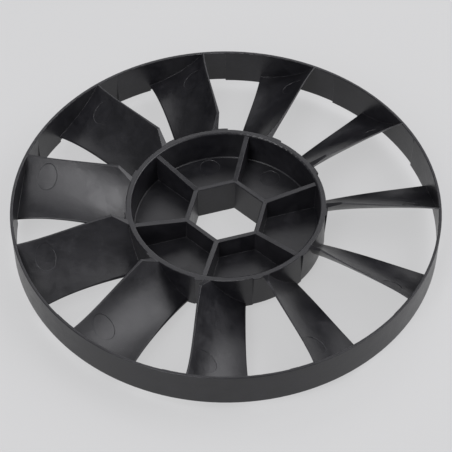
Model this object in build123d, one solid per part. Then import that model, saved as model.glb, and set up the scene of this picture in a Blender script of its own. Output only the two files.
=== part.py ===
"""Axial fan impeller, moulded in one piece: ring, eleven blades, hub drum, ribs and hexagonal socket."""

import os
from math import cos, hypot, radians, sin, sqrt, tan

from build123d import *

# Sizes in mm. The socket's lower end is at z = 0, and the axis is Z.
blade_count = 11
rib_count = 6

socket_across_flats = 30.8
socket_wall = 2.1
socket_wall_growth = 0.4  # what the draft adds to the wall at the lower end
socket_top = 18.2
socket_angle = 17.0  # one corner of the hexagon, degrees from +X
socket_lead_in = 0.35

ring_bottom = 4.6
ring_top = 23.2
rim_top = 23.7
cup_radius = 45.2  # the drum's inside and floor reach this far, and the moulded wall goes on from here
edge_round = 0.3  # on the ring and on the outside of the hub's rim
rim_inner_round = 0.9

# Each pair is a radius at the bottom and one at the top. Two pairs are for the stretches that the upper
# mould half shapes, thin at the top, and then for those that the lower half shapes, thin at the bottom.
ring_outer = (99.6, 100.0)
ring_inner = ((98.1, 98.7), (98.9, 98.5))
hub_inner = (43.4, 43.8)
hub_outer = ((46.6, 46.5), (46.2, 47.3))

web_thickness = 2.9  # above the ring's lower edge
web_corner_round = 0.8
rib_width_top = 2.1
rib_width_bottom = 2.7
rib_step_below_rim = 0.9

# A mould parting line crosses each window, on the hub and on the ring, in degrees.
blade_angle = 268.0  # the first blade's radial stacking line
hub_parting_angle = 252.6
ring_parting_angle = 253.8

# Stations square to the stacking line: distance out, half width, lower edge, upper edge, sag, thickness.
blade_stations = (
    (43.0, 8.9, 5.5, 30.3, 2.4, 3.6),
    (58.0, 10.1, 8.1, 27.8, 2.7, 1.8),
    (71.0, 10.85, 9.1, 26.0, 2.9, 1.3),
    (84.0, 11.85, 9.1, 24.9, 3.2, 1.1),
    (101.0, 14.6, 7.3, 23.5, 3.5, 1.0),
)
blade_overrun = 0.2  # share of the chord that the turned cut along the upper edges takes off
blade_root_radius = 44.9  # inside the hub wall
blade_tip_radius = 99.3  # inside the ring wall
blade_corner = (53.6, 28.2)  # the upper edge's inner corner, radius and height
upper_edge_middle = (75.0, 25.7)

pin_mark_depth = 0.25
pin_mark_radius = 4.7
blade_mark = (87.0, 264.3)  # radius, and angle on the first blade
floor_marks = ((37.5, 101.9), (36.5, 54.6))

hub_space = (43.0, 49.0)  # from inside the wall to past it, for what the lower mould half shapes
ring_space = (94.0, 101.0)
above_everything = 40.0
below_everything = -5.0


def polar(radius, angle, height=0.0):
    return Vector(radius * cos(radians(angle)), radius * sin(radians(angle)), height)


def turned(outline, rounds=None):
    """The solid that an outline of (radius, height) points makes about the axis, some corners rounded."""
    section = make_face(Polyline(*outline, close=True))
    for (radius, height), corner_round in (rounds or {}).items():
        corner = min(section.vertices(), key=lambda vertex: hypot(vertex.X - radius, vertex.Y - height))
        section = fillet(corner, corner_round)
    return revolve(Plane.XZ * section, Axis.Z)


def around(piece, count):
    return [Rot(0, 0, 360 / count * number) * piece for number in range(count)]


def hexagon(across_flats, height):
    return Pos(0, 0, height) * Rot(0, 0, socket_angle) * RegularPolygon(across_flats / sqrt(3), 6)


def station_plane(distance):
    """Square to the stacking line: local X runs towards larger angles and local Y runs up."""
    outwards = polar(1, blade_angle)
    return Plane(origin=distance * outwards, x_dir=polar(1, blade_angle + 90), z_dir=outwards)


def values_at(distance):
    """Half width, lower edge, upper edge, sag and thickness, in line with the two nearest stations."""
    nearest = sorted(blade_stations, key=lambda station: abs(station[0] - distance))[:2]
    (near, *near_values), (far, *far_values) = nearest
    share = (distance - near) / (far - near)
    return [a + share * (b - a) for a, b in zip(near_values, far_values)]


def blade_point(values, share, offset=0.0):
    """On the sagging section line, lower edge at 0 and upper edge at 1, or offset towards its top."""
    half_width, lower, upper, sag, thickness = values
    run = -2 * half_width
    rise = upper - lower
    chord = hypot(run, rise)
    normal = (rise / chord, -run / chord)
    bow = -4 * sag * share * (1 - share)
    turn = -4 * sag * (1 - 2 * share)
    along = (run + turn * normal[0], rise + turn * normal[1])
    step = offset / hypot(*along)
    x = half_width + share * run + bow * normal[0] + step * along[1]
    y = lower + share * rise + bow * normal[1] - step * along[0]
    return (x, y)


# Points along the section line, and the share of the thickness left at each as the blade thins upwards.
line_shares = (0.0, 0.3, 0.6, 0.9, 1 + blade_overrun)
thickness_shares = (1.0, 1.0, 1.0, 0.65, 0.1)


def blade_section(distance, values):
    """One section's outline, with a rounded lower edge."""
    half_width, lower, upper, sag, thickness = values
    half = thickness / 2
    offsets = [half * left for left in thickness_shares]
    top_side = [blade_point(values, share, offset) for share, offset in zip(line_shares, offsets)]
    under_side = [blade_point(values, share, -offset) for share, offset in zip(line_shares, offsets)]
    nose = blade_point(values, -half / hypot(2 * half_width, upper - lower))
    outline = [
        Spline(*top_side),
        Line(top_side[-1], under_side[-1]),
        Spline(*reversed(under_side)),
        ThreePointArc(under_side[0], nose, top_side[0]),
    ]
    return station_plane(distance) * make_face(outline)


def blade_envelope():
    """The turned shape that trims the blades' ends and their upper edges."""
    root, tip = blade_root_radius, blade_tip_radius
    rim = hub_outer[0][1]
    outline = [
        Polyline((tip, ring_top), (tip, 0), (root, 0), (root, rim_top), (rim, rim_top), blade_corner),
        ThreePointArc(blade_corner, upper_edge_middle, (tip, ring_top)),
    ]
    return revolve(Plane.XZ * make_face(outline), Axis.Z)


def blades():
    first = loft([blade_section(distance, values) for distance, *values in blade_stations])
    first = first & blade_envelope()
    mark = Pos(*polar(*blade_mark)) * extrude(Circle(pin_mark_radius), above_everything)
    sunk = Pos(0, 0, -pin_mark_depth) * first
    return around(first - ((first - sunk) & mark), blade_count)


def lower_half_spaces(inner, outer, parting_angle):
    """What the lower mould half shapes: under each blade, and on past its upper edge to the parting line."""
    faces = []
    for distance in (inner, outer):
        values = values_at(distance)
        line = [blade_point(values, share) for share in line_shares]
        low_x, high_x = line[0][0], line[-1][0]
        parting = distance * tan(radians(parting_angle - blade_angle))
        frame = Polyline(
            line[-1],
            (high_x, above_everything),
            (parting, above_everything),
            (parting, below_everything),
            (low_x, below_everything),
            line[0],
        )
        faces.append(station_plane(distance) * make_face([Spline(*line), frame]))
    return around(loft(faces, ruled=True), blade_count)


def moulded_wall(plain_side, stepped_side, top, spaces, plain_round=0.0):
    """A wall with the upper mould half's draft on one side, or the lower half's in that half's own spaces."""
    walls = []
    for radii in stepped_side:
        plain_low, plain_high = zip(plain_side, (ring_bottom, top))
        low, high = zip(radii, (ring_bottom, top))
        rounds = {high: edge_round}
        if plain_round:
            rounds |= {plain_low: plain_round, plain_high: plain_round}
        walls.append(turned([plain_low, low, high, plain_high], rounds))
    upper, lower = walls
    return [upper - spaces, lower & Compound(spaces)]


def cup():
    """The flat floor and the inside of the drum."""
    floor = ring_bottom + web_thickness
    floor_corner = (hub_inner[0], floor)
    rim_corner = (hub_inner[1], rim_top)
    outline = [(0, ring_bottom), (cup_radius, ring_bottom), (cup_radius, rim_top), rim_corner]
    outline += [floor_corner, (0, floor)]
    solid = turned(outline, {floor_corner: web_corner_round, rim_corner: rim_inner_round})
    sunk = Pos(0, 0, -pin_mark_depth) * solid
    marks = [Pos(*polar(*mark)) * extrude(Circle(pin_mark_radius), above_everything) for mark in floor_marks]
    return solid - ((solid - sunk) & Compound(marks))


def ribs():
    start = socket_across_flats / sqrt(3) + 1
    end = hub_inner[0] + 1
    section = make_face(
        Polyline(
            (-rib_width_bottom / 2, 0),
            (rib_width_bottom / 2, 0),
            (rib_width_top / 2, rim_top),
            (-rib_width_top / 2, rim_top),
            close=True,
        )
    )
    side = Plane(origin=(start, 0, 0), x_dir=(0, 1, 0), z_dir=(1, 0, 0))
    bar = extrude(side * section, end - start)
    inside_floor = ring_bottom + web_thickness / 2
    profile = [(start, inside_floor), (end, inside_floor)]
    profile += [(end, rim_top - rib_step_below_rim), (start, socket_top)]
    first = Rot(0, 0, socket_angle) * (bar & turned(profile))
    return around(first, rib_count)


def socket():
    wide = socket_across_flats + 2 * socket_wall
    return loft([hexagon(wide + 2 * socket_wall_growth, 0), hexagon(wide, socket_top)])


def socket_bore():
    bore = extrude(hexagon(socket_across_flats, below_everything), above_everything)
    flare = loft(
        [
            hexagon(socket_across_flats, socket_top - socket_lead_in),
            hexagon(socket_across_flats + 2 * socket_lead_in, socket_top + 0.001),
        ]
    )
    return bore + flare


def impeller():
    hub_spaces = lower_half_spaces(*hub_space, hub_parting_angle)
    drum = moulded_wall((cup_radius, cup_radius), hub_outer, rim_top, hub_spaces)
    ring_spaces = lower_half_spaces(*ring_space, ring_parting_angle)
    ring = moulded_wall(ring_outer, ring_inner, ring_top, ring_spaces, edge_round)
    hub = (Part() + [*drum, cup(), socket()] + ribs()) - socket_bore()
    return Part() + [*ring, *blades()] + hub


if __name__ == "__main__":
    os.makedirs("parts", exist_ok=True)
    export_step(impeller(), "parts/impeller.step")
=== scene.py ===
import bmesh
import bpy
from math import cos, radians, sin, tan
from mathutils import Matrix, Vector

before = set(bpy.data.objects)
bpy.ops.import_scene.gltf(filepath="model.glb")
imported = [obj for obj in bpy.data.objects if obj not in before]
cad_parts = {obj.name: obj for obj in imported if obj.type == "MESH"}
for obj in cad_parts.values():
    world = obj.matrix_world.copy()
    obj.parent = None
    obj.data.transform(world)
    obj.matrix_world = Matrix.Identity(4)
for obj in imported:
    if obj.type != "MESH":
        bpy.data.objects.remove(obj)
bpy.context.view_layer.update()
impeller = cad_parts["impeller"]
print("frame loaded")


# One shader node of a material, with its settings and then its input sockets
def addNode(tree, kind, settings, values):
    node = tree.nodes.new(kind)
    for name, value in settings.items():
        setattr(node, name, value)
    for name, value in values.items():
        node.inputs[name].default_value = value
    return node


# Joins (node, output) to (node, input), one pair after another
def join(tree, *pairs):
    for (source, output), (target, socket) in pairs:
        tree.links.new(source.outputs[output], target.inputs[socket])


# Scales are in repeats per metre and lengths in metres. A range says which of a pattern's values count
plastic = {
    "deepColour": (0.0055, 0.0054, 0.007, 1),
    "fadedColour": (0.0155, 0.0152, 0.0178, 1),
    "wornColour": (0.04, 0.039, 0.043, 1),
    "ior": 1.47,
    "roughness": {"To Min": 0.29, "To Max": 0.42},  # of the deep colour, and of the faded one
    "clouds": {"Scale": 110.0, "Detail": 8.0, "Roughness": 0.75, "Distortion": 0.4},
    "cloudRange": {"From Min": 0.38, "From Max": 0.7},
    "flow": {"Scale": 1.0, "Detail": 4.0},
    "flowStretch": {"Scale": (30.0, 30.0, 160.0)},
    "flowRange": {"From Min": 0.45, "From Max": 0.75, "To Max": 0.6},
    "edgeRadius": 0.00035,
    "edgeSamples": 6,
    "edgeRange": {"From Min": 0.995, "From Max": 0.9},  # the cosine of how far the rounded normal turns
    "scuffs": {"Scale": 420.0, "Detail": 3.0},
    "scuffRange": {"From Min": 0.35, "From Max": 0.65},
    "scratches": {"Scale": 1.0, "Detail": 1.0},
    "scratchStretch": {"Rotation": (0.5, 0.3, 0.9), "Scale": (60.0, 1900.0, 1900.0)},
    "scratchRange": {"From Min": 0.68, "From Max": 0.76, "To Max": 0.6},
    "specks": {"Scale": 230.0},
    "speckRange": {"From Min": 0.05, "From Max": 0.02, "To Max": 0.5},
    "ripples": {"Scale": 520.0, "Detail": 4.0},
    "rippleHeight": {"Strength": 1.0, "Distance": 0.000032},
    "grain": {"Scale": 2600.0, "Detail": 2.0},
    "grainHeight": {"Strength": 1.0, "Distance": 0.000014},
}


# A pattern on the impeller's own coordinates, stretched first if it runs one way
def addPattern(tree, place, kind, values, stretch=None):
    pattern = addNode(tree, kind, {}, values)
    if stretch:
        stretched = addNode(tree, "ShaderNodeMapping", {}, stretch)
        join(tree, ((place, "Object"), (stretched, "Vector")), ((stretched, "Vector"), (pattern, "Vector")))
    else:
        join(tree, ((place, "Object"), (pattern, "Vector")))
    return pattern


# How much of a pattern counts at each place, from 0 to 1 or what the range gives
def addRange(tree, source, output, values):
    span = addNode(tree, "ShaderNodeMapRange", {}, values)
    join(tree, ((source, output), (span, "Value")))
    return span


# Two of those made one, as their product or the larger of them
def combine(tree, operation, first, second):
    both = addNode(tree, "ShaderNodeMath", {"operation": operation}, {})
    join(tree, ((first, 0), (both, 0)), ((second, 0), (both, 1)))
    return both


# Black moulded plastic: cloudy faded patches, flow lines, fine grain, a few scratches, pale rubbed edges
def mouldedPlastic():
    material = bpy.data.materials.new("mouldedPlastic")
    material.use_nodes = True
    tree = material.node_tree
    shader = tree.nodes["Principled BSDF"]
    shader.inputs["IOR"].default_value = plastic["ior"]
    place = addNode(tree, "ShaderNodeTexCoord", {}, {})
    noise = "ShaderNodeTexNoise"

    # Where the surface has faded, in clouds and along the flow of the melt
    clouds = addPattern(tree, place, noise, plastic["clouds"])
    patches = addRange(tree, clouds, "Fac", plastic["cloudRange"])
    flow = addPattern(tree, place, noise, plastic["flow"], plastic["flowStretch"])
    streaks = addRange(tree, flow, "Fac", plastic["flowRange"])
    faded = combine(tree, "MAXIMUM", patches, streaks)

    # A rounded normal at the corners, which are rubbed pale in places
    rounded = addNode(
        tree, "ShaderNodeBevel", {"samples": plastic["edgeSamples"]}, {"Radius": plastic["edgeRadius"]}
    )
    face = addNode(tree, "ShaderNodeNewGeometry", {}, {})
    turn = addNode(tree, "ShaderNodeVectorMath", {"operation": "DOT_PRODUCT"}, {})
    join(tree, ((rounded, "Normal"), (turn, 0)), ((face, "Normal"), (turn, 1)))
    rubbed = addRange(tree, turn, "Value", plastic["edgeRange"])
    scuffs = addPattern(tree, place, noise, plastic["scuffs"])
    broken = addRange(tree, scuffs, "Fac", plastic["scuffRange"])
    edges = combine(tree, "MULTIPLY", rubbed, broken)

    # Faint scratches within the clouds, and specks anywhere
    lines = addPattern(tree, place, noise, plastic["scratches"], plastic["scratchStretch"])
    cuts = addRange(tree, lines, "Fac", plastic["scratchRange"])
    scratches = combine(tree, "MULTIPLY", cuts, patches)
    dots = addPattern(tree, place, "ShaderNodeTexVoronoi", plastic["specks"])
    specks = addRange(tree, dots, "Distance", plastic["speckRange"])
    marks = combine(tree, "MAXIMUM", scratches, specks)
    worn = combine(tree, "MAXIMUM", edges, marks)

    tone = addNode(tree, "ShaderNodeMix", {"data_type": "RGBA"}, {})
    tone.inputs["A"].default_value = plastic["deepColour"]
    tone.inputs["B"].default_value = plastic["fadedColour"]
    colour = addNode(tree, "ShaderNodeMix", {"data_type": "RGBA"}, {})
    colour.inputs["B"].default_value = plastic["wornColour"]
    roughness = addRange(tree, faded, "Value", plastic["roughness"])
    ripples = addPattern(tree, place, noise, plastic["ripples"])
    uneven = addNode(tree, "ShaderNodeBump", {}, plastic["rippleHeight"])
    grain = addPattern(tree, place, noise, plastic["grain"])
    bump = addNode(tree, "ShaderNodeBump", {}, plastic["grainHeight"])
    join(
        tree,
        ((faded, "Value"), (tone, "Factor")),
        ((tone, "Result"), (colour, "A")),
        ((worn, "Value"), (colour, "Factor")),
        ((colour, "Result"), (shader, "Base Color")),
        ((roughness, "Result"), (shader, "Roughness")),
        ((ripples, "Fac"), (uneven, "Height")),
        ((rounded, "Normal"), (uneven, "Normal")),
        ((grain, "Fac"), (bump, "Height")),
        ((uneven, "Normal"), (bump, "Normal")),
        ((bump, "Normal"), (shader, "Normal")),
    )
    return material


impeller.data.materials[0] = mouldedPlastic()
print("impeller finished")

floor = {
    "halfWidth": 3.0,
    "colour": (0.6, 0.6, 0.605, 1),
    "roughness": 0.3,
    "shown": (0.63, 0.63, 0.635, 1),  # the even pale tone that the camera and reflections see
    "shownShare": 0.8,  # the rest of what they see is the lit floor, with its shadow
}


# A lit board, mixed with an even pale glow for the camera and in reflections
def floorMaterial():
    material = bpy.data.materials.new("floorBoard")
    material.use_nodes = True
    tree = material.node_tree
    shader = tree.nodes["Principled BSDF"]
    shader.inputs["Base Color"].default_value = floor["colour"]
    shader.inputs["Roughness"].default_value = floor["roughness"]
    seen = addNode(tree, "ShaderNodeLightPath", {}, {})
    reflected = addNode(tree, "ShaderNodeMath", {"operation": "MAXIMUM"}, {})
    direct = addNode(tree, "ShaderNodeMath", {"operation": "MAXIMUM"}, {})
    share = addNode(tree, "ShaderNodeMath", {"operation": "MULTIPLY"}, {1: floor["shownShare"]})
    glow = addNode(tree, "ShaderNodeEmission", {}, {"Color": floor["shown"], "Strength": 1.0})
    blend = addNode(tree, "ShaderNodeMixShader", {}, {})
    join(
        tree,
        ((seen, "Is Glossy Ray"), (reflected, 0)),
        ((seen, "Is Transmission Ray"), (reflected, 1)),
        ((seen, "Is Camera Ray"), (direct, 0)),
        ((reflected, "Value"), (direct, 1)),
        ((direct, "Value"), (share, 0)),
        ((share, "Value"), (blend, "Fac")),
        ((shader, "BSDF"), (blend, 1)),
        ((glow, "Emission"), (blend, 2)),
        ((blend, "Shader"), (tree.nodes["Material Output"], "Surface")),
    )
    return material


def layFloor():
    mesh = bpy.data.meshes.new("floor")
    bm = bmesh.new()
    bmesh.ops.create_grid(bm, x_segments=1, y_segments=1, size=floor["halfWidth"])
    bm.to_mesh(mesh)
    bm.free()
    mesh.materials.append(floorMaterial())
    board = bpy.data.objects.new("floor", mesh)
    bpy.context.scene.collection.objects.link(board)


layFloor()

# Soft boxes that face the impeller. Bearing, height and spread are in degrees, and the spread is a box's
# width and height as the impeller sees them
lampDistance = 2.0
lampColour = (0.975, 0.97, 1.0)
lamps = {
    "frontLeft": {"bearing": -119, "height": 40, "spread": (18, 46), "power": 25.0},
    "frontRight": {"bearing": -42, "height": 16, "spread": (34, 28), "power": 3.5},
    "right": {"bearing": 4, "height": 42, "spread": (44, 40), "power": 27.0},
    "backRight": {"bearing": 58, "height": 24, "spread": (60, 44), "power": 15.0},
    "back": {"bearing": 108, "height": 50, "spread": (36, 24), "power": 5.0},
    "overhead": {"bearing": -150, "height": 70, "spread": (26, 26), "power": 5.5},
    "overheadRight": {"bearing": 30, "height": 70, "spread": (26, 26), "power": 3.0},
}


def hangLamps():
    for name, lamp in lamps.items():
        light = bpy.data.lights.new(name, "AREA")
        light.shape = "RECTANGLE"
        light.size, light.size_y = (2 * lampDistance * tan(radians(part) / 2) for part in lamp["spread"])
        light.energy = lamp["power"]
        light.color = lampColour
        holder = bpy.data.objects.new(name, light)
        bearing, height = radians(lamp["bearing"]), radians(lamp["height"])
        outwards = Vector((cos(height) * cos(bearing), cos(height) * sin(bearing), sin(height)))
        holder.location = outwards * lampDistance
        holder.rotation_euler = (-outwards).to_track_quat("-Z", "Y").to_euler()
        bpy.context.scene.collection.objects.link(holder)


hangLamps()

room = {"colour": (0.97, 0.98, 1.0, 1), "strength": 0.23}


# Dim light from all around
def lightRoom():
    world = bpy.data.worlds.new("room")
    world.use_nodes = True
    background = world.node_tree.nodes["Background"]
    background.inputs["Color"].default_value = room["colour"]
    background.inputs["Strength"].default_value = room["strength"]
    bpy.context.scene.world = world


lightRoom()
print("floor and lamps placed")

view = {
    "place": (0.00006, -0.6124, 0.73143),
    "tilt": 40.214,  # degrees up from straight down
    "roll": 0.102,
    "lens": 160.78,  # this and the sensor's width are in millimetres
    "sensorWidth": 36.0,
}


def setUpCamera():
    camera = bpy.data.cameras.new("camera")
    camera.lens = view["lens"]
    camera.sensor_width = view["sensorWidth"]
    holder = bpy.data.objects.new("camera", camera)
    turn = Matrix.Rotation(radians(view["tilt"]), 4, "X") @ Matrix.Rotation(radians(view["roll"]), 4, "Z")
    holder.matrix_world = Matrix.Translation(view["place"]) @ turn
    bpy.context.scene.collection.objects.link(holder)
    bpy.context.scene.camera = holder


setUpCamera()
bpy.context.scene.view_settings.view_transform = "Standard"
print("camera placed")
